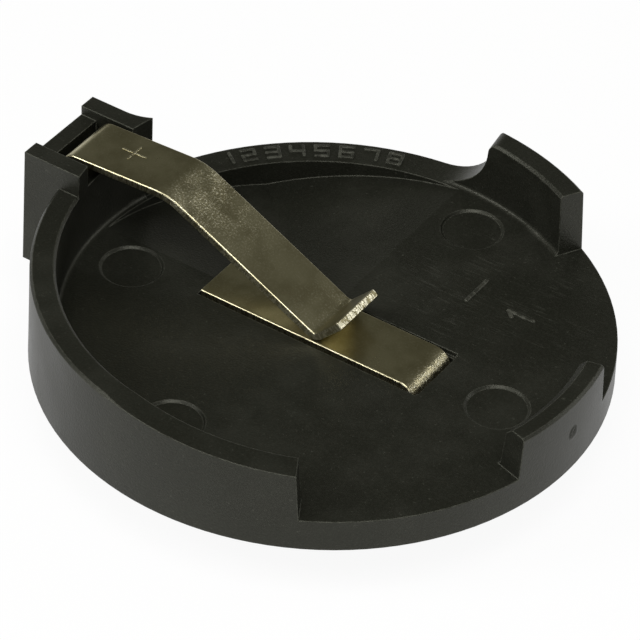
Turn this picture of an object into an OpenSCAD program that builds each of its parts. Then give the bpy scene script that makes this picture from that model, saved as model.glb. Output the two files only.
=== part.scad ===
// Open holder for one coin cell, soldered to a printed board.
// A moulded round tray carries two bent sheet-metal contacts. The cell slides in from +X under
// the spring arm of the positive contact and lies on the plate of the negative contact.
// Frame: origin at the centre of the tray's underside, +Z up, terminal block toward -X.
// Angles round the tray are measured from +X toward +Y.

/* [Cell] */
// Diameter of the coin cell
cell_d = 24.5; // [20:0.1:30]
// Height of the coin cell
cell_h = 3.0; // [2:0.1:5.4]
// Room between the cell and the pocket wall, at the radius
cell_clear = 0.15; // [0.05:0.05:0.4]

/* [Tray] */
// Thickness of the tray's floor
base_t = 1.65; // [1.2:0.05:3]
// Thickness of the wall at the tray's underside
wall_t = 1.3; // [0.9:0.05:2]
// Draft of the tray's outer side, in degrees
tray_draft = 1.1; // [0:0.1:3]
// Height of the tall wall above the cell's top
wall_over = 0.2; // [0:0.05:1]
// Height that the tall wall loses on its way to the front opening
wall_fall = 0.85; // [0:0.05:1.5]
// Where the tall wall starts to fall, in front of the centre line
wall_fall_x = -3; // [-6:0.5:2]
// Depth of the low wall's top below the cell's top
low_wall_drop = 0.9; // [0.4:0.05:1.6]
// Thickness of the low wall at its top, before its inner edge is eased
low_wall_top_t = 1.15; // [0.8:0.05:1.3]
// Size of the eased inner edge that leads the cell in over the low wall
lead_in = 0.35; // [0.1:0.05:0.5]
// Width of the broken edge along the tops of the walls
edge_break = 0.12; // [0.05:0.01:0.2]
// Radius of the fillet between floor and walls, inside the pocket
foot_r = 0.25; // [0.1:0.05:0.5]
// Draft of the walls' ends, in degrees
end_draft = 4; // [0:0.5:6]

/* [Wall angles] */
// End of the tall wall at the front opening
tall_end = -60.7; // [-75:0.5:-45]
// Start of the low wall
low_start = -16.4; // [-35:0.5:-5]
// End of the low wall
low_end = 12.5; // [5:0.5:30]
// Start of the post
post_start = 60; // [45:0.5:70]
// End of the post at the top of its hollow curve
post_end = 86; // [80:0.5:95]
// Radius of the hollow curve from the post down to the rim
post_sweep_r = 2.8; // [1.5:0.1:2.8]
// Radius of the post's rounded top corner
post_corner_r = 0.6; // [0.2:0.1:0.7]

/* [Thumb scoop] */
// Slope of the scoop's two planes, in degrees
scoop_slope = 8.4; // [4:0.1:9]
// Where the scoop's first plane starts to sink, along X
scoop_x = -0.3; // [-2:0.1:1]
// Where the scoop's second plane starts to sink, along Y
scoop_y = -0.35; // [-1:0.05:1]

/* [Terminal block] */
// How far the block stands out past the tray
block_reach = 1.58; // [1:0.02:3]
// Height of the cheeks above the cell's top
cheek_over = 1.4; // [1:0.05:2.5]
// Thickness of each cheek at its top
cheek_t = 0.9; // [0.6:0.05:1.5]
// Draft of the cheeks' outer sides, in degrees
cheek_draft = 2; // [0:0.1:4]
// Thickness of the back wall between the cheeks
back_wall_t = 0.92; // [0.6:0.02:1.5]
// Depth of the back wall's top below the cheeks' tops
back_wall_drop = 0.5; // [0.1:0.05:1.5]
// Radius of the rear cheek's flare toward the pocket
flare_r = 2.6; // [1:0.1:5]
// Length of the rear cheek's flare
flare_l = 1.15; // [0.5:0.05:1.5]

/* [Contacts] */
// Thickness of the contacts' sheet metal
metal_t = 0.4; // [0.2:0.05:0.6]
// Room round a contact's leg in its slot, on each side
slot_clear = 0.05; // [0.02:0.01:0.15]
// Width of the solder pins
pin_w = 1.2; // [0.8:0.1:2]
// Length of the solder pins below the tray
pin_l = 3.0; // [2:0.1:5]
// Length of the tapered pin tip
pin_tip = 0.6; // [0.2:0.1:1]
// Height above the underside at which a leg narrows to its pin
pin_shoulder = 0.4; // [0.1:0.05:1]

/* [Positive contact] */
// Width of the spring strip
strip_w = 3.1; // [2:0.1:5]
// Room between the strip and each cheek
strip_side_clear = 0.23; // [0.1:0.01:0.5]
// Room behind the leg, in front of the back wall
leg_gap = 0.39; // [0.2:0.01:0.8]
// Room between the leg and the pocket's wall
leg_inner_clear = 0.15; // [0.05:0.05:0.3]
// Height of the strip above the cheeks' tops where it leaves the leg
strip_proud = 0.0; // [-0.3:0.05:0.3]
// Inside radius of the bend on top of the leg
leg_bend_r = 0.4; // [0.3:0.1:1]
// Rise of the strip's upper run, in degrees
run_rise = 2.6; // [0:0.1:5]
// Length of the strip's upper run
run_l = 4.55; // [3:0.05:7]
// Inside radius of the bend between upper run and spring arm
arm_bend_r = 2.6; // [1:0.1:4]
// Slope of the spring arm, in degrees
arm_slope = 26.8; // [20:0.1:35]
// Inside radius of the fold at the arm's low end
fold_r = 0.25; // [0.2:0.05:0.6]
// Slope of the turned-up lip, in degrees
lip_slope = 46; // [30:1:70]
// Length of the turned-up lip
lip_l = 1.55; // [0.8:0.05:3]
// Gap between the arm's fold and the plate with no cell in
rest_gap = 0.08; // [0.03:0.01:0.4]

/* [Negative contact] */
// Width of the plate
plate_w = 3.2; // [2:0.1:6]
// Height of the plate's top above the floor
plate_proud = 0.15; // [0.05:0.05:0.3]
// Where the plate ends, toward the terminal block
plate_start = -5.85; // [-9:0.05:-2]
// Outer face of the plate's leg
plate_leg_x = 6.1; // [4:0.05:9]
// Inside radius of the plate's bend
plate_bend_r = 0.5; // [0.3:0.05:1]
// Room round the plate in its recess
plate_clear = 0.2; // [0.1:0.05:0.4]

/* [Ejector marks] */
// Diameter of the marks that the ejector pins leave in the floor
mark_d = 3.06; // [1:0.1:4]
// Depth of the marks
mark_depth = 0.1; // [0.05:0.01:0.3]
// Width of the sloped edge round each mark
mark_edge = 0.12; // [0:0.02:0.3]

/* [Hidden] */
$fn = 96;

// Anything that cuts through a face reaches this far past it.
past = 1;

// Heights
plate_top = base_t + plate_proud;
cell_top = plate_top + cell_h;
tall_z = cell_top + wall_over;
low_z = cell_top - low_wall_drop;
cheek_z = cell_top + cheek_over;
back_wall_z = cheek_z - back_wall_drop;

// Radii
pocket_r = cell_d / 2 + cell_clear;
base_r = pocket_r + wall_t;
rim_r = pocket_r - foot_r;
function tray_r(z) = base_r - z * tan(tray_draft);

// Places along X
block_x = -base_r - block_reach;
leg_x = block_x + back_wall_t + leg_gap;
chamber_in = leg_x + metal_t + leg_inner_clear;

// Half widths across Y
slot_half = strip_w / 2 + strip_side_clear;
block_half = slot_half + cheek_t;

// Positions of the four ejector marks
marks = [[-9.55, -2.0], [1.85, 9.95], [9.7, -0.25], [-1.6, -9.85]];

// Part of a ring from angle a to angle b, swept from a profile drawn in (radius, height)
module sector(a, b) {
  rotate([0, 0, a])
    rotate_extrude(angle = b - a)
      children();
}

// The tray as if its tall wall ran all the way round: drafted outside, both top edges broken,
// and a fillet where the wall rises from the floor
module full_cup() {
  e = edge_break;
  top = tray_r(tall_z);
  rotate_extrude()
    difference() {
      polygon([
        [0, 0],
        [base_r, 0],
        [tray_r(tall_z - e), tall_z - e],
        [top - e, tall_z],
        [pocket_r + e, tall_z],
        [pocket_r, tall_z - e],
        [pocket_r, base_t + foot_r],
        [rim_r, base_t],
        [0, base_t]
      ]);
      translate([rim_r, base_t + foot_r])
        circle(r = foot_r);
    }
}

// Takes the wall away between two angles, down to the floor's level. The walls on both sides
// of the opening end in drafted faces.
module opening(a, b) {
  sector(a + 0.5, b - 0.5)
    translate([rim_r - past, base_t])
      square([base_r, tall_z]);
  beside_wall_end(a, -1);
  beside_wall_end(b, 1);
}

// Space beside a wall's end face. The wall lies toward growing angles for side 1, and toward
// shrinking angles for side -1.
module beside_wall_end(a, side) {
  lean = tall_z * tan(end_draft);
  rotate([0, 0, a])
    translate([rim_r - past, 0, base_t])
      rotate([90, 0, 90])
        linear_extrude(base_r)
          polygon([[0, 0], [side * lean, tall_z], [-side * past, tall_z], [-side * past, 0]]);
}

// What the low wall leaves free: everything above its top, and inside its eased inner edge
module above_low_wall() {
  e = edge_break;
  outer_top = tray_r(low_z);
  inner_top = outer_top - low_wall_top_t;
  sector(low_start - 1, low_end + 1)
    polygon([
      [rim_r, base_t + foot_r],
      [pocket_r, base_t + foot_r],
      [inner_top, low_z - lead_in],
      [inner_top + lead_in, low_z],
      [outer_top - e, low_z],
      [tray_r(low_z - e), low_z - e],
      [2 * base_r, low_z - e],
      [2 * base_r, tall_z + past],
      [rim_r, tall_z + past]
    ]);
}

// The tall wall's top falls in a straight line toward the front opening
module above_falling_top() {
  run = base_r * cos(tall_end) - wall_fall_x;
  translate([wall_fall_x, -2 * base_r, tall_z])
    rotate([0, atan(wall_fall / run), 0])
      cube([run + past, 2 * base_r, 3 * past]);
}

// Side view of the space beyond the post: above the hollow curve that sweeps down to the rim,
// and outside the rounded top corner. The curve's end is at 0 and the post toward -X.
module beyond_post() {
  r = post_sweep_r;
  c = post_corner_r;
  translate([0, base_t + r])
    circle(r = r);
  translate([-r, base_t + r])
    square([2 * r, tall_z]);
  difference() {
    translate([-r - c, tall_z - c])
      square([c + past, c + past]);
    translate([-r - c, tall_z - c])
      circle(r = c);
  }
}

// Angle at which the post's hollow curve reaches the rim
sweep_end = post_end + 2 * asin(post_sweep_r / 2 / (base_r - wall_t / 2));

module post_end_cut() {
  rotate([0, 0, sweep_end - 90])
    rotate([90, 0, 0])
      mirror([1, 0, 0])
        translate([0, 0, -2 * base_r])
          linear_extrude(2 * base_r)
            beyond_post();
}

// The rear of the tray has no wall, only the rim at the floor's level
module behind_post(a, b) {
  sector(a, b)
    translate([rim_r - past, base_t])
      square([base_r, tall_z]);
}

module tray() {
  block_angle = atan2(block_half, -pocket_r);
  difference() {
    full_cup();
    opening(tall_end, low_start);
    above_low_wall();
    opening(low_end, post_start);
    post_end_cut();
    behind_post(sweep_end, block_angle);
    above_falling_top();
  }
}

// Solid outline of the terminal block, before its chamber is cut
module block_body() {
  foot_half = block_half + cheek_z * tan(cheek_draft);
  translate([block_x, 0, 0])
    rotate([90, 0, 90])
      linear_extrude(-block_x - pocket_r / 2)
        polygon([
          [-foot_half, 0],
          [foot_half, 0],
          [block_half, cheek_z],
          [-block_half, cheek_z]
        ]);
}

// The rear cheek widens in a hollow curve where it meets the pocket
module rear_flare() {
  start_x = -pocket_r - flare_l + 0.2;
  linear_extrude(cheek_z)
    difference() {
      translate([start_x, block_half - cheek_t / 2])
        square([2 * flare_l, cheek_t / 2 + flare_l / 2]);
      translate([start_x, block_half + flare_r])
        circle(r = flare_r);
    }
}

// Hollow of the block: the chamber round the leg, and the low back wall
module block_hollow() {
  translate([block_x + back_wall_t, -slot_half, base_t])
    cube([chamber_in - block_x - back_wall_t, 2 * slot_half, cheek_z]);
  translate([block_x - past, -slot_half, back_wall_z])
    cube([back_wall_t + 2 * past, 2 * slot_half, cheek_z]);
  translate([chamber_in - past, -slot_half, tall_z])
    cube([base_r, 2 * slot_half, cheek_z]);
}

// A slot that a contact's leg passes through, from above the floor to below the tray
module leg_slot(x, w) {
  translate([x - slot_clear, -w / 2 - slot_clear, -past])
    cube([metal_t + 2 * slot_clear, w + 2 * slot_clear, base_t + 2 * past]);
}

// Space above the floor where the two sloping planes sink toward the rear rim
module scoop() {
  reach = 2 * base_r;
  intersection() {
    cylinder(h = plate_top, r = rim_r);
    translate([scoop_x, -reach / 2, base_t])
      rotate([0, -scoop_slope, 0])
        translate([-reach, 0, 0])
          cube([reach, reach, reach]);
    translate([-reach, scoop_y, base_t])
      rotate([-scoop_slope, 0, 0])
        cube([reach, reach, reach]);
  }
}

// Rounds the inner edge of the plate's leg slot, to leave room for the inside of its bend
module slot_edge() {
  r = plate_bend_r + slot_clear;
  l = plate_w + 2 * slot_clear;
  translate([plate_leg_x - metal_t - slot_clear - r, -l / 2, plate_top - metal_t - r])
    difference() {
      cube([r + past, l, r + past]);
      translate([0, -past, 0])
        rotate([-90, 0, 0])
          cylinder(h = l + 2 * past, r = r);
    }
}

module plate_recess() {
  c = plate_clear;
  translate([plate_start - slot_clear, -plate_w / 2 - c, plate_top - metal_t])
    cube([plate_leg_x + c - plate_start, plate_w + 2 * c, 2 * metal_t]);
}

module housing() {
  color("#23241f")
    difference() {
      union() {
        tray();
        difference() {
          union() {
            block_body();
            rear_flare();
          }
          translate([0, 0, base_t])
            cylinder(h = cheek_z, r = pocket_r);
        }
      }
      block_hollow();
      leg_slot(leg_x, strip_w);
      leg_slot(plate_leg_x - metal_t, plate_w);
      plate_recess();
      slot_edge();
      scoop();
      for (m = marks)
        translate([m[0], m[1], base_t - mark_depth])
          cylinder(h = 2 * mark_depth, d1 = mark_d - 2 * mark_edge, d2 = mark_d + 2 * mark_edge);
    }
}

// Bent sheet metal of width w, drawn edge-on with its width along +Z. Each step is
// [length, turn, inside radius]: a straight length along +X, then a bend to the left for a
// positive turn and to the right for a negative one. The sheet lies below its path. Straight
// lengths run on to the bend's sharp outer corner, the inside is filled to its radius, and
// the corner is cut back round.
module bent_sheet(steps, w, i = 0, lead = 0) {
  l = steps[i][0];
  turn = steps[i][1];
  r = steps[i][2];
  out = r + metal_t;
  bends = i < len(steps) - 1;
  reach = bends ? out * tan(abs(turn) / 2) : 0;
  centre_y = turn < 0 ? -out : r;
  from = turn < 0 ? 90 : -90;
  difference() {
    union() {
      translate([-lead, -metal_t, 0])
        cube([lead + l + reach, metal_t, w]);
      if (bends)
        translate([l, centre_y, 0]) {
          ring_part(r, r + metal_t / 2, from, turn, w);
          rotate(turn)
            translate([0, -centre_y, 0])
              bent_sheet(steps, w, i + 1, reach);
        }
    }
    if (bends)
      translate([l, centre_y, -past])
        ring_part(out, 2 * out / cos(turn / 2), from, turn, w + 2 * past);
  }
}

// Part of a ring of height h between two radii, over the given sweep from angle a. Its outer
// side is two flats that stay outside the outer radius.
module ring_part(r_in, r_out, a, sweep, h) {
  far = r_out / cos(sweep / 4);
  corners = [for (k = [0 : 2]) far * [cos(a + k * sweep / 2), sin(a + k * sweep / 2)]];
  difference() {
    linear_extrude(h)
      polygon(concat([[0, 0]], corners));
    translate([0, 0, -past])
      cylinder(h = h + 2 * past, r = r_in);
  }
}

// Front view of a leg: full width above, shoulders, then the tapered pin
module leg_front(w, top) {
  s = (w - pin_w) / 2;
  polygon([
    [-w / 2, top],
    [-w / 2, pin_shoulder],
    [-w / 2 + s, pin_shoulder - s / 2],
    [-pin_w / 2, pin_tip - pin_l],
    [-pin_w / 4, -pin_l],
    [pin_w / 4, -pin_l],
    [pin_w / 2, pin_tip - pin_l],
    [w / 2 - s, pin_shoulder - s / 2],
    [w / 2, pin_shoulder],
    [w / 2, top]
  ]);
}

// A contact: the bent sheet stood on its legs and trimmed to the front view of its leg
module bent_contact(w, top) {
  intersection() {
    rotate([90, 0, 0])
      translate([0, 0, -w / 2])
        children();
    translate([-2 * base_r, 0, 0])
      rotate([90, 0, 90])
        linear_extrude(4 * base_r)
          leg_front(w, top);
  }
}

// Height of the strip's top where the upper run starts, and the leg's length up to its bend
strip_z = cheek_z + strip_proud;
leg_bend_out = leg_bend_r + metal_t;
leg_l = strip_z - leg_bend_out + pin_l;

// Height that the strip has gained or lost at the end of the bend before the spring arm
arm_out = arm_bend_r + metal_t;
arm_start_z = strip_z - leg_bend_out * (1 - cos(run_rise)) + run_l * sin(run_rise)
  - arm_out * (cos(run_rise) - cos(arm_slope));

// The arm is as long as it takes for the fold's underside to stop just above the plate
fold_drop = (fold_r + metal_t) * (1 - cos(arm_slope)) + metal_t * cos(arm_slope);
arm_l = (arm_start_z - plate_top - rest_gap - fold_drop) / sin(arm_slope);

module positive_contact() {
  color("#8f8a78")
    bent_contact(strip_w, strip_z + run_l)
      translate([leg_x, -pin_l])
        rotate(90)
          bent_sheet([
            [leg_l, run_rise - 90, leg_bend_r],
            [run_l, -arm_slope - run_rise, arm_bend_r],
            [arm_l, arm_slope + lip_slope, fold_r],
            [lip_l, 0, 0]
          ], strip_w);
}

module negative_contact() {
  plate_l = plate_leg_x - plate_bend_r - metal_t - plate_start;
  color("#8f8a78")
    bent_contact(plate_w, plate_top + past)
      translate([plate_start, plate_top])
        bent_sheet([
          [plate_l, -90, plate_bend_r],
          [plate_top - plate_bend_r - metal_t + pin_l, 0, 0]
        ], plate_w);
}

housing();
positive_contact();
negative_contact();
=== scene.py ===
import math

import bpy
import numpy as np
from bpy.props import FloatProperty, FloatVectorProperty, PointerProperty
from mathutils import Matrix, Vector


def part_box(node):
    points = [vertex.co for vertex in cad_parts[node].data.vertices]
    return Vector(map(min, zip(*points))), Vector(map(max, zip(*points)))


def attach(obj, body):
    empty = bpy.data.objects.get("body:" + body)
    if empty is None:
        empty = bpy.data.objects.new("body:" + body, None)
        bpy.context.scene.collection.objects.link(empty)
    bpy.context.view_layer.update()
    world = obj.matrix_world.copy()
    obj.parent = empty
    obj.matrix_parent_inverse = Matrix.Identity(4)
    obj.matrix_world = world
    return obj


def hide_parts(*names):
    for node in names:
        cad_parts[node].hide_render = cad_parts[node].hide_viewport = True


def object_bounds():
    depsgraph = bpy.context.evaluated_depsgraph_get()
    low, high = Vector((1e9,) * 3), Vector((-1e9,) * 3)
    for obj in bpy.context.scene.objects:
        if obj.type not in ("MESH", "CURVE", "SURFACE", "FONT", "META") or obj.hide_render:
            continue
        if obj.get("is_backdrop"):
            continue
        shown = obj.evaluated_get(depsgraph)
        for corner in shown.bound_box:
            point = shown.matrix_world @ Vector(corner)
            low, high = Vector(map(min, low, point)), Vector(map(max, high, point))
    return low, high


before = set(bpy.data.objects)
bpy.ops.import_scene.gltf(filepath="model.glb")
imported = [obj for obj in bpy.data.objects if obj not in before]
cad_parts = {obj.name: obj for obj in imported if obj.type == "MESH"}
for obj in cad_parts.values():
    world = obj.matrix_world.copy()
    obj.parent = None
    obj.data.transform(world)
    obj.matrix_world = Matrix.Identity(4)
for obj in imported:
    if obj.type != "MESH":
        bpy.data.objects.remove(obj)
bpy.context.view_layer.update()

bl_info = {
    "name": "Coin Cell Holder Dresser",
    "version": (1, 0, 0),
    "blender": (4, 5, 0),
    "location": "View3D > Sidebar > Cell Holder",
    "description": "Finishes the moulded tray and the bent contacts of a coin cell holder",
    "category": "Object",
}

MM = 0.001
STRIP_LOW, STRIP_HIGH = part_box("positive_contact")
PLATE_LOW, PLATE_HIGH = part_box("negative_contact")
# The tray's floor lies a little below the plate's upper face
PLATE_PROUD = 0.15 * MM
FLOOR_Z = PLATE_HIGH.z - PLATE_PROUD
# The circle that the rear rim's digits follow, and the direction of their middle from +X
RIM_R = 12.93 * MM
RIM_MIDDLE = math.radians(127)
# The broken-off gate's place on the low wall's outer face
GATE_X, GATE_Y = 13.62 * MM, -0.13 * MM
# Radius of the edges at a sheet's two ends
END_R = 0.04 * MM
# Each lamp's name, place, width and power. All face the tray's centre
LAMPS = (
    ("lamp_front", (0.06, -0.10, 0.26), 0.16, 0.55),
    ("lamp_left", (-0.15, -0.17, 0.17), 0.10, 0.30),
    ("lamp_right", (0.178, 0.181, 0.120), 0.08, 0.10),
)


# ---------------------------------------------------------------- settings

def length(name, description, default, low=0.0, high=1.0):
    """A length in metres as a Blender property."""
    return FloatProperty(
        name=name, description=description, default=default, min=low, max=high, unit="LENGTH", precision=5
    )


def angle(name, description, default, low=-math.pi, high=math.pi):
    """An angle as a Blender property."""
    return FloatProperty(
        name=name, description=description, default=default, min=low, max=high, unit="ROTATION"
    )


def share(name, description, default, high=1.0):
    """A number from 0 to high as a Blender property."""
    return FloatProperty(name=name, description=description, default=default, min=0.0, max=high)


def colour(name, description, default):
    """A linear colour as a Blender property."""
    return FloatVectorProperty(
        name=name, description=description, default=default, size=3, min=0.0, max=1.0, subtype="COLOR"
    )


class TraySettings(bpy.types.PropertyGroup):
    """Colours, gloss and moulded signs of the tray."""

    plastic: colour("Plastic", "Colour of the moulded black plastic", (0.0086, 0.0090, 0.0064))
    # Colour where the plastic is rubbed dull, and also the painted highlight along moulded edges
    scuffed_and_highlit: colour("Scuffed plastic", "Colour where the plastic is rubbed dull", (0.066, 0.067, 0.054))
    sheen: colour("Reflection tint", "Tint of the plastic's reflections", (1.0, 1.0, 0.84))
    gloss: share("Roughness", "Roughness of the plastic's skin", 0.40)
    grain: length("Grain size", "Size of the fine grain in the plastic's skin", 0.11 * MM, 0.01 * MM, 2 * MM)
    eased: length("Eased edges", "Radius that every moulded edge is shaded with", 0.09 * MM, 0.0, 1 * MM)
    streak_x: length("Streak place, X", "Middle of the flow marks, along X", 5.5 * MM, -13 * MM, 13 * MM)
    streak_y: length("Streak place, Y", "Middle of the flow marks, along Y", 5.8 * MM, -13 * MM, 13 * MM)
    gate_z: length("Gate height", "Height of the broken-off gate on the low wall", 2.11 * MM, 0.0, 4 * MM)
    sign_h: length("Sign height", "How far the moulded signs stand out", 0.09 * MM, 0.01 * MM, 0.3 * MM)
    stroke_w: length("Stroke width", "Width of a sign's strokes", 0.22 * MM, 0.05 * MM, 1 * MM)
    rim_digit_h: length("Rim digit", "Height of the digits on the rear rim", 1.0 * MM, 0.3 * MM, 1.3 * MM)


class ContactSettings(bpy.types.PropertyGroup):
    """Sizes and colours of the two contacts. The lengths are those of the solid model's bent sheet."""

    metal: colour("Plating", "Colour of the nickel plating", (0.54, 0.50, 0.335))
    glint_and_raw_metal: colour("Specks", "Colour of the bright specks in the bent metal", (0.90, 0.86, 0.68))
    # Painted glints in the crazed bends, and the raw metal of the sheared faces
    tarnish: colour("Tarnish", "Colour of the plating where it is dull", (0.28, 0.25, 0.145))
    gloss: share("Roughness", "Roughness of the flat plating", 0.25)
    speck: length("Speck size", "Size of the specks in the bent metal", 0.10 * MM, 0.01 * MM, 2 * MM)
    metal_t: length("Metal", "Thickness of the sheet metal", 0.4 * MM, 0.2 * MM, 1 * MM)
    rolled: length("Rolled edge", "Radius of the sheet's upper edges", 0.075 * MM, 0.0, 0.15 * MM)
    sharp: length("Sheared edge", "Radius of the sheet's lower edges", 0.045 * MM, 0.0, 0.15 * MM)
    pin_w: length("Pin width", "Width of a solder pin", 1.2 * MM, 0.5 * MM, 3 * MM)
    pin_l: length("Pin length", "Length of a solder pin below the tray", 3.0 * MM, 1 * MM, 6 * MM)
    pin_tip: length("Pin tip", "Length of the pin's taper", 0.6 * MM, 0.1 * MM, 2 * MM)
    pin_shoulder: length("Pin shoulder", "Height where a leg starts to narrow", 0.4 * MM, 0.0, 1 * MM)
    strip_w: length("Strip width", "Width of the spring strip", 3.1 * MM, 1 * MM, 8 * MM)
    leg_bend_r: length("Leg bend", "Inside radius where the strip leaves its leg", 0.4 * MM, 0.1 * MM, 2 * MM)
    run_rise: angle("Rise", "Rise of the strip's upper run", math.radians(2.6))
    run_l: length("Upper run", "Length of the strip's upper run", 4.55 * MM, 1 * MM, 10 * MM)
    arm_bend_r: length("Arm bend", "Inside radius before the spring arm", 2.6 * MM, 0.5 * MM, 6 * MM)
    arm_slope: angle("Arm slope", "Slope of the spring arm", math.radians(26.8))
    fold_r: length("Fold", "Inside radius of the fold that touches the cell", 0.25 * MM, 0.1 * MM, 2 * MM)
    lip_slope: angle("Lip slope", "Slope of the lip that guides the cell", math.radians(46))
    lip_l: length("Lip", "Length of the lip", 1.55 * MM, 0.5 * MM, 4 * MM)
    rest_gap: length("Rest gap", "Gap between the fold and the plate with no cell", 0.08 * MM, 0.0, 1 * MM)
    plate_w: length("Plate width", "Width of the plate under the cell", 3.2 * MM, 1 * MM, 8 * MM)
    plate_bend_r: length("Plate bend", "Inside radius where the plate turns down", 0.5 * MM, 0.1 * MM, 2 * MM)
    plus_l: length("Plus sign", "Length of the plus sign's strokes", 1.3 * MM, 0.5 * MM, 3 * MM)
    plus_x: length("Plus place, X", "Middle of the plus sign, along X", -11.05 * MM, -14 * MM, -8 * MM)
    plus_y: length("Plus place, Y", "Middle of the plus sign, along Y", 0.24 * MM, -2 * MM, 2 * MM)
    plus_w: length("Plus width", "Width of the plus sign's strokes", 0.10 * MM, 0.02 * MM, 0.5 * MM)
    plus_h: length("Plus height", "How far the plus sign stands out", 0.025 * MM, 0.005 * MM, 0.2 * MM)


class StageSettings(bpy.types.PropertyGroup):
    """Camera, floor and lights."""

    distance: length("Distance", "Camera's distance from the tray's centre", 0.2, 0.05, 2.0)
    azimuth: angle("Azimuth", "Camera's direction round the tray, from +X", math.radians(-57.84))
    elevation: angle("Elevation", "Camera's height above the horizon", math.radians(40.39))
    roll: angle("Roll", "Turn of the picture", math.radians(2.81))
    aim_y: length("Aim", "Point on the Y axis that the camera looks at", -0.32 * MM, -10 * MM, 10 * MM)
    aim_z: length("Aim height", "Height of the point that the camera looks at", 2 * MM, 0.0, 10 * MM)
    lens: FloatProperty(
        name="Lens", description="Focal length in millimetres", default=241.1, min=20, max=600
    )
    plain: share("Plain floor", "Share of the floor that shows plain white instead of its lit paint", 0.93)
    horizon: colour("Horizon", "Colour of the surroundings at the horizon", (0.82, 0.82, 0.76))
    overhead: colour("Overhead", "Colour of the surroundings above", (0.105, 0.105, 0.085))


# ---------------------------------------------------------------- shader maths

class Socket:
    """Wraps a shader socket, so that expressions add Math nodes and node() adds any other."""

    def __init__(self, tree, link):
        self.tree = tree
        self.link = link

    def _math(self, operation, first, second):
        return self.node("ShaderNodeMath", {"operation": operation}, {0: first, 1: second})

    def node(self, kind, settings=None, inputs=None, out=0):
        """Adds a node of this kind: its settings first, then the values or links of its sockets."""
        made = self.tree.nodes.new(kind)
        for name, value in (settings or {}).items():
            setattr(made, name, value)
        for name, value in (inputs or {}).items():
            if isinstance(value, Socket):
                self.tree.links.new(value.link, made.inputs[name])
            else:
                made.inputs[name].default_value = value
        return Socket(self.tree, made.outputs[out])

    def __add__(self, other):
        return self._math("ADD", self, other)

    __radd__ = __add__

    def __mul__(self, other):
        return self._math("MULTIPLY", self, other)

    __rmul__ = __mul__

    def __sub__(self, other):
        return self._math("SUBTRACT", self, other)

    def __rsub__(self, other):
        return self._math("SUBTRACT", other, self)

    def ramp(self, low, high):
        """0 below low and 1 above high, with a smooth rise between them."""
        settings = {"interpolation_type": "SMOOTHSTEP", "clamp": True}
        inputs = {"Value": self, "From Min": low, "From Max": high, "To Min": 0.0, "To Max": 1.0}
        return self.node("ShaderNodeMapRange", settings, inputs)

    def blend(self, first, second):
        """The first colour where this is 0 and the second where it is 1."""
        settings = {"data_type": "RGBA", "clamp_factor": True}
        return self.node("ShaderNodeMix", settings, {0: self, 6: first, 7: second}, out=2)


def start_material(name):
    """A new material with a Principled shader. Gives the material, its shader and its object coordinates."""
    material = bpy.data.materials.new(name)
    material.use_nodes = True
    tree = material.node_tree
    shader = tree.nodes["Principled BSDF"]
    coordinates = tree.nodes.new("ShaderNodeTexCoord")
    return material, shader, Socket(tree, coordinates.outputs["Object"])


def feed(shader, name, value):
    """Links an expression to one of the shader's sockets."""
    value.tree.links.new(value.link, shader.inputs[name])


def axes_of(place):
    """The three coordinates of a point, each as a socket."""
    return [place.node("ShaderNodeSeparateXYZ", inputs={0: place}, out=i) for i in range(3)]


def noise(place, size, detail=3.0, roughness=0.55):
    """Cloudy noise from 0 to 1, with features of the given size in metres."""
    inputs = {"Vector": place, "Scale": 1.0 / size, "Detail": detail, "Roughness": roughness}
    return place.node("ShaderNodeTexNoise", inputs=inputs)


def stretched(place, along_x, along_y, along_z):
    """Coordinates squeezed along each axis, so that a pattern is drawn out along the smallest."""
    inputs = {"Vector": place, "Scale": (along_x, along_y, along_z)}
    return place.node("ShaderNodeMapping", inputs=inputs)


def near(place, centre, inner, outer):
    """1 within the inner distance of a point and 0 beyond the outer one."""
    apart = place.node("ShaderNodeVectorMath", {"operation": "DISTANCE"}, {0: place, 1: centre}, out=1)
    return 1 - apart.ramp(inner, outer)


def from_attribute(place, name, out=2):
    """A value that the mesh keeps at its points: output 2 is a number and output 1 a vector."""
    return place.node("ShaderNodeAttribute", {"attribute_name": name}, out=out)


def bumped(shader, height, distance, normal=None):
    """Feeds a height to the shader's normal through a Bump node, over another normal if one is given."""
    inputs = {"Height": height, "Distance": distance, "Strength": 1.0}
    if normal is not None:
        inputs["Normal"] = normal
    feed(shader, "Normal", height.node("ShaderNodeBump", inputs=inputs))


def painted_edge_highlight(place, eased):
    """A painted highlight, as a broken line along sharp edges: where the eased normal leans away from the
    face's own.
    """
    flat = place.node("ShaderNodeNewGeometry", out=1)
    leaning = place.node("ShaderNodeVectorMath", {"operation": "DOT_PRODUCT"}, {0: eased, 1: flat}, out=1)
    broken = 0.25 + 0.75 * noise(place, 0.30 * MM, detail=4.0).ramp(0.34, 0.58)
    return (1 - leaning).ramp(0.005, 0.09) * broken


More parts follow.
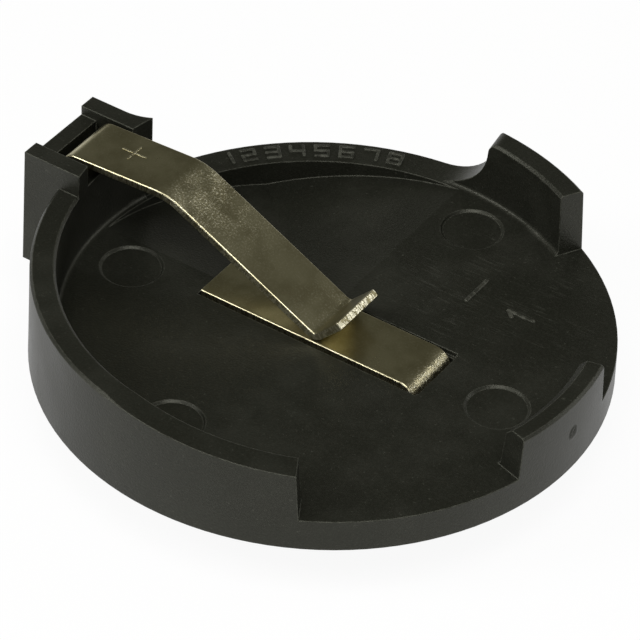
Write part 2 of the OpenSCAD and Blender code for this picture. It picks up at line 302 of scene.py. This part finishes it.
def moulded_plastic(settings, name, raised=False, eased_edges=True):
    """Black satin plastic with fine grain, cloudy gloss, sink marks, flow marks, dust and the gate's scar.

    A raised sign has the same plastic, rubbed over its whole top. Moulded edges are eased, and painted
    paler along them as a highlight, unless a piece has its own round edges.
    """
    material, shader, place = start_material(name)
    height = axes_of(place)[2]
    clouds = noise(place, 3.2 * MM, detail=4.0)
    grain = noise(place, settings.grain, detail=2.0)
    sinks = noise(place, 4.5 * MM, detail=1.0)
    dust = noise(place, 0.16 * MM, detail=2.0).ramp(0.66, 0.76)
    flecks = noise(place, 0.5 * MM, detail=5.0, roughness=0.7).ramp(0.60, 0.80)
    rubbed = flecks * noise(place, 2.2 * MM).ramp(0.45, 0.70) * (0.25 + 0.6 * height.ramp(1.8 * MM, 4.5 * MM))
    streak_z = 1.6 * MM
    middle = (settings.streak_x, settings.streak_y, streak_z)
    flow = noise(stretched(place, 0.09, 1.0, 1.0), 0.12 * MM, detail=4.0, roughness=0.7).ramp(0.50, 0.74)
    streaks = flow * near(place, middle, 2.5 * MM, 7.0 * MM) * noise(place, 1.4 * MM).ramp(0.38, 0.60)
    scar = near(place, (GATE_X, GATE_Y, settings.gate_z), 0.22 * MM, 0.42 * MM)
    torn = scar * noise(place, 0.16 * MM, detail=3.0)
    eased = place.node("ShaderNodeBevel", {"samples": 6}, {"Radius": settings.eased}) if eased_edges else None
    # Painted highlight: moulded edges are painted paler where the eased normal leans away
    edges = painted_edge_highlight(place, eased) if eased_edges else 0.0
    if raised:
        wear_and_highlight = 0.20 + 0.65 * noise(place, 0.35 * MM, detail=4.0).ramp(0.42, 0.62)
    else:
        haze = 0.10 * clouds.ramp(0.44, 0.72) + 0.07 * noise(place, 0.10 * MM, detail=2.0).ramp(0.40, 0.66)
        # Haze, rubbing, flow marks and dust are the plastic's own; the edges' share is painted highlight
        wear_and_highlight = (haze + rubbed + streaks * 0.30 + dust * 0.34 + edges * 1.10) * (1 - scar)
    feed(shader, "Base Color", wear_and_highlight.blend((*settings.plastic, 1.0), (*settings.scuffed_and_highlit, 1.0)))
    feed(shader, "Roughness", settings.gloss - 0.08 + 0.16 * clouds + 0.10 * wear_and_highlight + 0.25 * scar)
    shader.inputs["Specular Tint"].default_value = (*settings.sheen, 1.0)
    shader.inputs["IOR"].default_value = 1.39
    relief = grain * 0.42 + flecks * 0.10 + sinks * 1.6 + streaks * 0.25 + torn * 4.0
    bumped(shader, relief, 0.03 * MM, normal=eased)
    return material


def plated_spring_metal(settings):
    """Nickel plating in the flat sheet's own coordinates: along, across and through it.

    Rolling lines run along the sheet. Where the sheet was bent the plating is crazed, and its glints
    there are painted as bright specks. The sheared faces are bright raw metal, scored from top to bottom.
    """
    material, shader, place = start_material("nickel_plating")
    skin = from_attribute(place, "skin", out=1)
    bent = from_attribute(place, "bent")
    sheared = from_attribute(place, "sheared")
    clouds = noise(skin, 2.0 * MM, detail=5.0)
    lines = noise(stretched(skin, 0.04, 1.0, 0.04), 0.05 * MM, detail=2.0)
    crazing = noise(skin, settings.speck, detail=2.0, roughness=0.6)
    specks = crazing.ramp(0.54, 0.60)
    strewn = noise(skin, 0.8 * MM, detail=4.0).ramp(0.36, 0.60)
    scores = noise(stretched(skin, 1.0, 1.0, 0.35), 0.14 * MM, detail=3.0, roughness=0.7)
    torn = scores.ramp(0.47, 0.51)
    crazed = bent * (0.40 + 0.60 * strewn)
    # Painted glints: bright specks in the crazed bends and a few on the flat plating; torn raw metal on the
    # sheared faces
    glints_and_torn_metal = specks * (0.03 + 0.07 * strewn + 0.90 * crazed) * (1 - sheared) + 0.7 * sheared * torn
    dull = (1 - sheared) * (0.25 + 0.55 * clouds.ramp(0.36, 0.66)) + sheared * (1 - torn)
    plating = dull.blend((*settings.metal, 1.0), (*settings.tarnish, 1.0))
    feed(shader, "Base Color", glints_and_torn_metal.blend(plating, (*settings.glint_and_raw_metal, 1.0)))
    feed(shader, "Roughness", settings.gloss + 0.07 * clouds + 0.16 * crazed + 0.08 * sheared)
    shader.inputs["Metallic"].default_value = 1.0
    relief = lines * 0.04 + crazing * (0.12 + 2.0 * crazed) + clouds * 0.5 + sheared * scores * 2.4
    bumped(shader, relief, 0.02 * MM)
    return material


# ---------------------------------------------------------------- surfaces

def add_mesh(name, points, quads, others, numbers=None, vectors=None):
    """A mesh object from arrays of points and quads and a list of other faces.

    Faces with five corners or more are flat and the rest are smooth. The numbers and vectors are
    values that the mesh keeps at its points.
    """
    mesh = bpy.data.meshes.new(name)
    mesh.from_pydata(points.tolist(), [], quads.tolist() + others)
    smooth = np.ones(len(mesh.polygons), bool)
    smooth[len(quads):] = [len(face) < 5 for face in others]
    mesh.polygons.foreach_set("use_smooth", smooth)
    for key, values in (numbers or {}).items():
        kept = mesh.attributes.new(key, "FLOAT", "POINT")
        kept.data.foreach_set("value", np.ravel(values).astype(np.float32))
    for key, values in (vectors or {}).items():
        kept = mesh.attributes.new(key, "FLOAT_VECTOR", "POINT")
        kept.data.foreach_set("vector", np.ravel(values).astype(np.float32))
    piece = bpy.data.objects.new(name, mesh)
    bpy.context.scene.collection.objects.link(piece)
    return piece


def finish_piece(piece, material):
    """Gives a new piece its material and slot, and ties it to the holder."""
    piece.data.materials.append(material)
    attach(piece, "root")


def quads_between(rings, columns):
    """Quads that join each ring of points to the next, once round."""
    ring, column = np.meshgrid(np.arange(rings - 1), np.arange(columns), indexing="ij")
    beside = (column + 1) % columns
    corners = [ring * columns + column, (ring + 1) * columns + column, (ring + 1) * columns + beside]
    corners.append(ring * columns + beside)
    return np.stack(corners, axis=-1).reshape(-1, 4)


def straight_rows(straight, extra=()):
    """Distances along a straight length: about 0.12 mm apart, closer at both ends, and any extra places."""
    ease = END_R * (1 - np.cos(np.linspace(0, math.pi / 2, 5)))
    even = np.linspace(0, straight, max(2, round(straight / (0.12 * MM))))
    inner = even[(even > 1.5 * END_R) & (even < straight - 1.5 * END_R)]
    return np.unique(np.concatenate([ease, inner, straight - ease, extra]))


def bent_path(start, heading, steps, metal_t, extra=()):
    """The sheet's upper face seen edge-on, as straight lengths joined by arcs in the X-Z plane.

    Each step is (length, turn, inside radius). A straight point is the start plus its distance times the
    heading. An arc's point is its centre plus its radius at the heading turned by a share of the turn;
    the centre lies to the left for a positive turn and to the right for a negative one, where the radius
    is larger by the metal's thickness, because the sheet lies below its upper face.
    Gives rows of x, z, heading and distance along, and the distances between which each bend lies.
    """
    (x, z), run = start, 0.0
    rows, bends = [], []
    for straight, turn, radius in steps:
        along = straight_rows(straight, extra)
        extra = ()
        ones = np.ones_like(along)
        ahead_x, ahead_z = math.cos(heading), math.sin(heading)
        rows.append([x + along * ahead_x, z + along * ahead_z, heading * ones, run + along])
        x, z, run = x + straight * ahead_x, z + straight * ahead_z, run + straight
        if turn:
            side = math.copysign(1.0, turn)
            reach = radius if turn > 0 else radius + metal_t
            swing = heading + turn * np.linspace(0, 1, max(9, round(abs(turn) * reach / (0.04 * MM))))
            centre_x, centre_z = x - side * reach * math.sin(heading), z + side * reach * math.cos(heading)
            arc_x, arc_z = centre_x + side * reach * np.sin(swing), centre_z - side * reach * np.cos(swing)
            arc = run + abs(turn) * reach * np.linspace(0, 1, len(swing))
            rows.append([part[1:-1] for part in (arc_x, arc_z, swing, arc)])
            bends.append((run, arc[-1]))
            x, z, run, heading = arc_x[-1], arc_z[-1], arc[-1], heading + turn
    return np.concatenate([np.array(part) for part in rows], axis=1), bends


def sheet_columns(settings):
    """The sheet's cross-section, once round from its upper left corner, as one row per number below.

    A point lies across the sheet at share x (half the width less the corner radius) + shift
    + out x (radius less inset), and through it at centre + drop + down x (radius less inset).
    Gives share, shift, out, centre, drop, down, radius, and how far the point lies on a sheared face.
    """
    top, low, hold = settings.rolled, settings.sharp, 0.035 * MM
    deep = settings.metal_t - low
    over = np.array([-0.8, -0.55, -0.28, 0.0, 0.28, 0.55, 0.8])
    bow = np.linspace(0, math.pi / 2, 6)
    columns = [(-1, 0, 0, top, 0, -1, top, 0), (-1, hold, 0, top, 0, -1, top, 0)]
    columns += [(part, 0, 0, top, 0, -1, top, 0) for part in over]
    columns += [(1, -hold, 0, top, 0, -1, top, 0), (1, 0, 0, top, 0, -1, top, 0)]
    columns += [(1, 0, math.sin(a), top, 0, -math.cos(a), top, max(0.0, 0.6 * a - 0.5)) for a in bow[1:]]
    side = [(1, 0, 1, top, hold, 0, top, 0.45), (1, 0, 1, deep, -hold, 0, low, 0.45)]
    side += [(1, 0, math.cos(a), deep, 0, math.sin(a), low, 0.45 * math.cos(a)) for a in bow[:-1]]
    under = [(1, 0, 0, deep, 0, 1, low, 0), (1, -hold, 0, deep, 0, 1, low, 0)]
    right = columns[11:] + side
    left = [(-c[0], -c[1], -c[2], *c[3:]) for c in reversed(right)]
    back = [(-part, 0, 0, deep, 0, 1, low, 0) for part in over]
    mirrored = [(-c[0], -c[1], -c[2], *c[3:]) for c in reversed(under)]
    return np.array(columns[:11] + right + under + back + mirrored + left).T


def swept_sheet(name, path, bends, crazes, width, settings):
    """A strip of sheet metal: the cross-section carried along the path and closed by a flat face at each end.

    A point is the path's point plus its depth times the direction below the sheet, with its distance
    across as Y. The width follows the height, so that a leg narrows to its pin. Near both ends the
    section shrinks by r - sqrt(r^2 - (r - distance)^2), which rounds the end's edges.
    Each bend's craze is its strength and how far it fades before the bend's middle and beyond its end.
    """
    x, z, heading, along = path
    part, shift, out, centre, drop, down, radius, shear = sheet_columns(settings)
    shoulder = settings.pin_shoulder - (width - settings.pin_w) / 2
    heights = [-settings.pin_l, settings.pin_tip - settings.pin_l, shoulder, settings.pin_shoulder]
    wide = np.interp(z, heights, [settings.pin_w / 2, settings.pin_w, settings.pin_w, width])[:, None]
    from_end = np.clip(np.minimum(along, along[-1] - along), 0, END_R)[:, None]
    inset = END_R - np.sqrt(np.maximum(END_R ** 2 - (END_R - from_end) ** 2, 0))
    across = part * (wide / 2 - radius) + shift + out * (radius - inset)
    through = centre + drop + down * (radius - inset)
    points = np.stack([x[:, None] + through * np.sin(heading)[:, None], across,
                       z[:, None] - through * np.cos(heading)[:, None]], axis=-1)
    rings, columns = across.shape
    worked = []
    for (low, high), (strength, before, after) in zip(bends, crazes):
        away = np.maximum(((low + high) / 2 - along) / before, (along - high) / after)
        worked.append(strength * np.clip(1 - away, 0, 1) ** 1.5)
    bent = np.max(worked, axis=0)[:, None] + 0 * across
    sheared = np.maximum(shear + 0 * across, inset / END_R)
    skin = np.stack([along[:, None] + 0 * across, across, through], axis=-1)
    first = list(range(columns))
    last = [(rings - 1) * columns + column for column in reversed(first)]
    quads = quads_between(rings, columns)
    numbers = {"bent": bent, "sheared": sheared}
    return add_mesh(name, points.reshape(-1, 3), quads, [first, last], numbers, {"skin": skin})


def raised_strokes(name, strokes, width, height, lay):
    """Raised bars with round ends, one for each stroke (x0, y0, x1, y1), sunk into what carries them.

    Toward an end the section's size is the cosine of the way round it. Across a bar a point is
    (half the width x size x cos^0.7, height x sqrt(size) x sin^0.6), and below what carries it
    (the same, half the height x size x sin^0.6). lay places the points.
    """
    strokes = np.array(strokes, float)
    starts, ends = strokes[:, None, None, :2], strokes[:, None, None, 2:]
    half = width / 2
    span = np.linalg.norm(ends - starts, axis=-1, keepdims=True)
    ahead = (ends - starts) / span
    beside = np.stack([-ahead[..., 1], ahead[..., 0]], axis=-1)
    turned = np.linspace(0, math.pi / 2, 7)[:-1]
    size = np.concatenate([np.cos(turned[::-1]), np.cos(turned)])[None, :, None, None]
    reach = np.concatenate([-np.sin(turned[::-1]), np.sin(turned)])[None, :, None, None] * half
    end = np.repeat([0.0, 1.0], len(turned))[None, :, None, None]
    about = np.linspace(0, 2 * math.pi, 16, endpoint=False)[None, None, :, None]
    over = half * size * np.sign(np.cos(about)) * np.abs(np.cos(about)) ** 0.7
    reach_up = np.where(np.sin(about) > 0, height * size ** 0.5, -0.5 * height * size)
    rise = reach_up * np.abs(np.sin(about)) ** 0.6
    flat = starts + ahead * (end * span + reach) + beside * over
    points = np.concatenate([flat, rise + 0 * flat[..., :1]], axis=-1)
    count, rings, columns = points.shape[:3]
    poles = np.concatenate([starts - ahead * half, ends + ahead * half], axis=2)[:, 0]
    poles = np.concatenate([poles, 0 * poles[..., :1]], axis=-1)
    every = np.concatenate([points.reshape(count, -1, 3), poles], axis=1)
    per = rings * columns + 2
    offsets = per * np.arange(count)
    quads = (quads_between(rings, columns)[:, ::-1][None] + offsets[:, None, None]).reshape(-1, 4)
    column = np.arange(columns)
    following = (column + 1) % columns
    tail = (rings - 1) * columns
    first = np.stack([0 * column + per - 2, following, column], axis=-1)
    last = np.stack([0 * column + per - 1, tail + column, tail + following], axis=-1)
    fans = (np.concatenate([first, last])[None] + offsets[:, None, None]).reshape(-1, 3)
    flat_points = every.reshape(-1, 3)
    worked = 0.5 + 0 * flat_points[:, 0]
    numbers = {"bent": worked, "sheared": 0 * worked}
    return add_mesh(name, lay(flat_points), quads, fans.tolist(), numbers, {"skin": flat_points})


def digit_strokes(digit, high, wide):
    """The strokes of a digit in a cell of the given height and width, centred on zero."""
    x, y = wide / 2, high / 2
    bars = {
        "top": (-x, y, x, y),
        "middle": (-x, 0, x, 0),
        "foot": (-x, -y, x, -y),
        "upper_left": (-x, 0, -x, y),
        "upper_right": (x, 0, x, y),
        "lower_left": (-x, -y, -x, 0),
        "lower_right": (x, -y, x, 0),
    }
    return [bars[name] for name in DIGITS[digit]]


DIGITS = {
    1: ("upper_right", "lower_right"),
    2: ("top", "upper_right", "middle", "lower_left", "foot"),
    3: ("top", "upper_right", "middle", "lower_right", "foot"),
    4: ("upper_left", "middle", "upper_right", "lower_right"),
    5: ("top", "upper_left", "middle", "lower_right", "foot"),
    6: ("top", "upper_left", "middle", "lower_left", "lower_right", "foot"),
    7: ("top", "upper_right", "lower_right"),
    8: ("top", "middle", "foot", "upper_left", "upper_right", "lower_left", "lower_right"),
}


# ---------------------------------------------------------------- operators

def dress(node, material):
    """Gives a CAD node's object one material."""
    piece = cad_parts[node]
    piece.data.materials.clear()
    piece.data.materials.append(material)


def contact_metal(settings):
    """The contacts' plating, made once and shared."""
    return bpy.data.materials.get("nickel_plating") or plated_spring_metal(settings)


class HOLDER_OT_tray(bpy.types.Operator):
    """Finish the moulded tray as black satin plastic"""

    bl_idname = "cell_holder.tray"
    bl_label = "Finish Tray"

    def execute(self, context):
        dress("housing", moulded_plastic(context.scene.holder_tray, "black_moulded_plastic"))
        return {"FINISHED"}


class HOLDER_OT_signs(bpy.types.Operator):
    """Add the raised signs: a minus and a cavity number on the floor, and a row of digits on the rear rim"""

    bl_idname = "cell_holder.signs"
    bl_label = "Add Moulded Signs"

    def execute(self, context):
        settings = context.scene.holder_tray
        plastic = moulded_plastic(settings, "rubbed_sign_plastic", raised=True, eased_edges=False)

        def on_floor(points):
            return points + [0, 0, FLOOR_Z]

        def on_rim(points):
            """Wraps a row of signs round the rim: x runs clockwise from the row's middle and y outwards."""
            turn = RIM_MIDDLE - points[:, 0] / RIM_R
            away = RIM_R + points[:, 1]
            return np.stack([away * np.cos(turn), away * np.sin(turn), points[:, 2] + FLOOR_Z], axis=-1)

        minus = (4.5 * MM, 5.3 * MM, 4.5 * MM, 7.1 * MM)
        stem = (7.83 * MM, 5.83 * MM, 6.5 * MM, 5.83 * MM)
        flag = (6.5 * MM, 5.83 * MM, 6.85 * MM, 5.5 * MM)
        strokes = [minus, stem, flag]
        signs = raised_strokes("floor_signs", strokes, settings.stroke_w, settings.sign_h, on_floor)
        finish_piece(signs, plastic)

        high = settings.rim_digit_h
        wide, pitch = 0.62 * high, 1.2 * high
        strokes = []
        for place, digit in enumerate(sorted(DIGITS)):
            middle = (place - (len(DIGITS) - 1) / 2) * pitch
            cell = np.array(digit_strokes(digit, high - settings.stroke_w, wide))
            strokes.append(cell + [middle, 0, middle, 0])
        strokes = np.concatenate(strokes)
        digits = raised_strokes("rim_digits", strokes, 0.8 * settings.stroke_w, settings.sign_h, on_rim)
        finish_piece(digits, plastic)
        return {"FINISHED"}


class HOLDER_OT_ledge(bpy.types.Operator):
    """Bring the floor up to the plate's recess, where the solid model's leg slot runs past it"""

    bl_idname = "cell_holder.ledge"
    bl_label = "Close Slot"

    def execute(self, context):
        settings = context.scene.holder_tray
        # How far the ledge laps the floor round the slot, and how far it stands over that floor
        lap, proud = 0.13 * MM, 0.002 * MM
        # The slot's room beside the plate, and the ledge's own room before the slot's far end
        slot_room, back_room = 0.05 * MM, 0.01 * MM
        depth, edge_r = 0.75 * MM, 0.06 * MM
        half = context.scene.holder_contacts.plate_w / 2 + slot_room + lap
        # The recess ends 0.2 mm beyond the plate and the slot 0.55 mm; the ledge starts just before
        near_x, far_x = PLATE_HIGH.x + 0.197 * MM, PLATE_HIGH.x + 0.55 * MM
        back_x, lap_x = far_x - back_room, far_x + lap
        low, under, top = FLOOR_Z - depth, FLOOR_Z - proud, FLOOR_Z + proud
        corner = np.linspace(0, math.pi / 2, 6)
        edge_x = near_x + edge_r - edge_r * np.cos(corner)
        edge_z = top - edge_r + edge_r * np.sin(corner)
        outline_x = np.concatenate([[near_x], edge_x, [lap_x, lap_x, back_x, back_x]])
        outline_z = np.concatenate([[low], edge_z, [top, under, under, low]])
        rows = np.array([-half, half])[:, None]
        points = np.stack([outline_x + 0 * rows, rows + 0 * outline_x, outline_z + 0 * rows], axis=-1)
        count = len(outline_x)
        ends = [list(range(count))[::-1], list(range(count, 2 * count))]
        ledge = add_mesh("slot_ledge", points.reshape(-1, 3), quads_between(2, count), ends)
        ledge.data.shade_flat()
        plastic = moulded_plastic(settings, "ledge_plastic", eased_edges=False)
        finish_piece(ledge, plastic)
        return {"FINISHED"}


class HOLDER_OT_strip(bpy.types.Operator):
    """Add the positive spring strip, bent from sheet, with its raised plus sign"""

    bl_idname = "cell_holder.strip"
    bl_label = "Add Spring Strip"

    def execute(self, context):
        settings = context.scene.holder_contacts
        metal = contact_metal(settings)
        t, rise, slope = settings.metal_t, settings.run_rise, settings.arm_slope
        leg_out, arm_out = settings.leg_bend_r + t, settings.arm_bend_r + t
        run_climb = settings.run_l * math.sin(rise) - leg_out * (1 - math.cos(rise))
        strip_z = STRIP_HIGH.z - run_climb - arm_out * (1 - math.cos(rise))
        leg_l = strip_z - leg_out + settings.pin_l
        arm_z = strip_z + run_climb - arm_out * (math.cos(rise) - math.cos(slope))
        fold_drop = (settings.fold_r + t) * (1 - math.cos(slope)) + t * math.cos(slope)
        arm_l = (arm_z - PLATE_HIGH.z - settings.rest_gap - fold_drop) / math.sin(slope)
        steps = [
            (leg_l, rise - math.pi / 2, settings.leg_bend_r),
            (settings.run_l, -slope - rise, settings.arm_bend_r),
            (arm_l, slope + settings.lip_slope, settings.fold_r),
            (settings.lip_l, 0, 0),
        ]
        narrow = (settings.strip_w - settings.pin_w) / 2
        breaks = [settings.pin_tip, settings.pin_l + settings.pin_shoulder - narrow]
        breaks.append(settings.pin_l + settings.pin_shoulder)
        path, bends = bent_path((STRIP_LOW.x, -settings.pin_l), math.pi / 2, steps, t, breaks)
        crazes = [(0.10, 0.5 * MM, 0.5 * MM), (0.75, 0.6 * MM, 6.0 * MM), (0.35, 3.0 * MM, 0.3 * MM)]
        strip = swept_sheet("spring_strip", path, bends, crazes, settings.strip_w, settings)
        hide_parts("positive_contact")
        finish_piece(strip, metal)

        origin_x = settings.plus_x
        origin_z = float(np.interp(origin_x, path[0], path[1]))

        def on_run(points):
            """Lays the sign on the strip's sloping upper run: x along it and y across it."""
            x, y, up = points.T
            far, climb = math.cos(rise), math.sin(rise)
            place_x, place_z = origin_x + x * far - up * climb, origin_z + x * climb + up * far
            return np.stack([place_x, y + settings.plus_y, place_z], axis=-1)

        arm = settings.plus_l / 2
        strokes = [(-arm, 0, arm, 0), (0, -0.8 * arm, 0, 0.8 * arm)]
        plus = raised_strokes("plus_sign", strokes, settings.plus_w, settings.plus_h, on_run)
        finish_piece(plus, metal)
        return {"FINISHED"}


class HOLDER_OT_plate(bpy.types.Operator):
    """Add the negative plate on the floor, bent down into its pin"""

    bl_idname = "cell_holder.plate"
    bl_label = "Add Cell Plate"

    def execute(self, context):
        settings = context.scene.holder_contacts
        bend_out = settings.plate_bend_r + settings.metal_t
        flat_l = PLATE_HIGH.x - bend_out - PLATE_LOW.x
        leg_l = PLATE_HIGH.z - bend_out + settings.pin_l
        steps = [(flat_l, -math.pi / 2, settings.plate_bend_r), (leg_l, 0, 0)]
        path, bends = bent_path((PLATE_LOW.x, PLATE_HIGH.z), 0.0, steps, settings.metal_t)
        crazes = [(0.9, 0.8 * MM, 0.4 * MM)]
        plate = swept_sheet("cell_plate", path, bends, crazes, settings.plate_w, settings)
        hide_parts("negative_contact")
        finish_piece(plate, contact_metal(settings))
        return {"FINISHED"}


def add_camera(settings):
    """A camera on a sphere round the tray's centre, aimed just in front of it and turned by its roll."""
    data = bpy.data.cameras.new("camera")
    data.lens = settings.lens
    data.sensor_width = 36.0
    data.clip_start = 0.01
    camera = bpy.data.objects.new("camera", data)
    flat = math.cos(settings.elevation)
    place = settings.distance * Vector(
        (flat * math.cos(settings.azimuth), flat * math.sin(settings.azimuth), math.sin(settings.elevation))
    )
    ahead = (Vector((0.0, settings.aim_y, settings.aim_z)) - place).normalized()
    right = ahead.cross(Vector((0.0, 0.0, 1.0))).normalized()
    turned = Matrix.Rotation(-settings.roll, 3, ahead) @ right
    up = turned.cross(ahead)
    camera.matrix_world = Matrix.Translation(place) @ Matrix((turned, up, -ahead)).transposed().to_4x4()
    bpy.context.scene.collection.objects.link(camera)
    bpy.context.scene.camera = camera


def add_lamp(name, place, size, power):
    """A soft square lamp at a place, facing the tray's centre."""
    data = bpy.data.lights.new(name, "AREA")
    data.size = size
    data.energy = power
    lamp = bpy.data.objects.new(name, data)
    lamp.location = place
    lamp.rotation_euler = (-Vector(place)).to_track_quat("-Z", "Y").to_euler()
    bpy.context.scene.collection.objects.link(lamp)


def add_floor(settings):
    """A wide pale floor, 1.2 m across, at the pins' tips. It shows almost white and keeps a faint shadow."""
    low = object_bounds()[0].z
    half = 0.6
    mesh = bpy.data.meshes.new("floor")
    corners = [(-half, -half, low), (half, -half, low), (half, half, low), (-half, half, low)]
    mesh.from_pydata(corners, [], [(0, 1, 2, 3)])
    floor = bpy.data.objects.new("floor", mesh)
    bpy.context.scene.collection.objects.link(floor)
    material = bpy.data.materials.new("white_floor")
    material.use_nodes = True
    tree = material.node_tree
    tree.nodes.clear()
    rays = tree.nodes.new("ShaderNodeLightPath")
    seen = Socket(tree, rays.outputs["Is Camera Ray"]) + Socket(tree, rays.outputs["Is Glossy Ray"])
    seen = seen + Socket(tree, rays.outputs["Is Transmission Ray"])
    paint = seen.node("ShaderNodeBsdfDiffuse", inputs={"Color": (0.97, 0.97, 0.97, 1.0)})
    glow = seen.node("ShaderNodeEmission", inputs={"Color": (1.0, 1.0, 1.0, 1.0), "Strength": 1.0})
    shown = seen.ramp(0.0, 1.0) * settings.plain
    mixed = seen.node("ShaderNodeMixShader", inputs={0: shown, 1: paint, 2: glow})
    output = tree.nodes.new("ShaderNodeOutputMaterial")
    tree.links.new(mixed.link, output.inputs["Surface"])
    mesh.materials.append(material)
    floor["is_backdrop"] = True


def add_world(settings):
    """Soft studio surroundings: white to the camera, and darker overhead than at the horizon for the rest."""
    world = bpy.data.worlds.new("studio")
    bpy.context.scene.world = world
    world.use_nodes = True
    tree = world.node_tree
    tree.nodes.clear()
    rays = tree.nodes.new("ShaderNodeLightPath")
    seen = Socket(tree, rays.outputs["Is Camera Ray"])
    direction = Socket(tree, tree.nodes.new("ShaderNodeTexCoord").outputs["Generated"])
    climb = axes_of(direction)[2].ramp(-0.02, 0.42)
    sky = climb.blend((*settings.horizon, 1.0), (*settings.overhead, 1.0))
    tint = seen.blend(sky, (1.0, 1.0, 1.0, 1.0))
    glow = seen.node("ShaderNodeBackground", inputs={"Color": tint, "Strength": 1.0})
    output = tree.nodes.new("ShaderNodeOutputWorld")
    tree.links.new(glow.link, output.inputs["Surface"])


class HOLDER_OT_stage(bpy.types.Operator):
    """Add the camera, the floor, the lamps and the surroundings"""

    bl_idname = "cell_holder.stage"
    bl_label = "Set Stage"

    def execute(self, context):
        settings = context.scene.holder_stage
        context.scene.view_settings.view_transform = "Standard"
        add_camera(settings)
        add_floor(settings)
        add_world(settings)
        for lamp in LAMPS:
            add_lamp(*lamp)
        return {"FINISHED"}


class HOLDER_PT_panel(bpy.types.Panel):
    """Lists the steps that dress the cell holder"""

    bl_label = "Cell Holder"
    bl_idname = "HOLDER_PT_panel"
    bl_space_type = "VIEW_3D"
    bl_region_type = "UI"
    bl_category = "Cell Holder"

    def draw(self, context):
        column = self.layout.column()
        for step in STEPS:
            column.operator(step.bl_idname)


SETTINGS = {
    "holder_tray": TraySettings,
    "holder_contacts": ContactSettings,
    "holder_stage": StageSettings,
}
STEPS = (HOLDER_OT_tray, HOLDER_OT_ledge, HOLDER_OT_signs, HOLDER_OT_strip, HOLDER_OT_plate, HOLDER_OT_stage)


def register():
    for kind in (*SETTINGS.values(), *STEPS, HOLDER_PT_panel):
        bpy.utils.register_class(kind)
    for name, kind in SETTINGS.items():
        setattr(bpy.types.Scene, name, PointerProperty(type=kind))


def unregister():
    for name in SETTINGS:
        delattr(bpy.types.Scene, name)
    for kind in (HOLDER_PT_panel, *reversed(STEPS), *reversed(list(SETTINGS.values()))):
        bpy.utils.unregister_class(kind)


def main():
    register()
    bpy.ops.cell_holder.tray()
    bpy.ops.cell_holder.ledge()
    bpy.ops.cell_holder.signs()
    bpy.ops.cell_holder.strip()
    bpy.ops.cell_holder.plate()
    bpy.ops.cell_holder.stage()


if __name__ == "__main__":
    main()
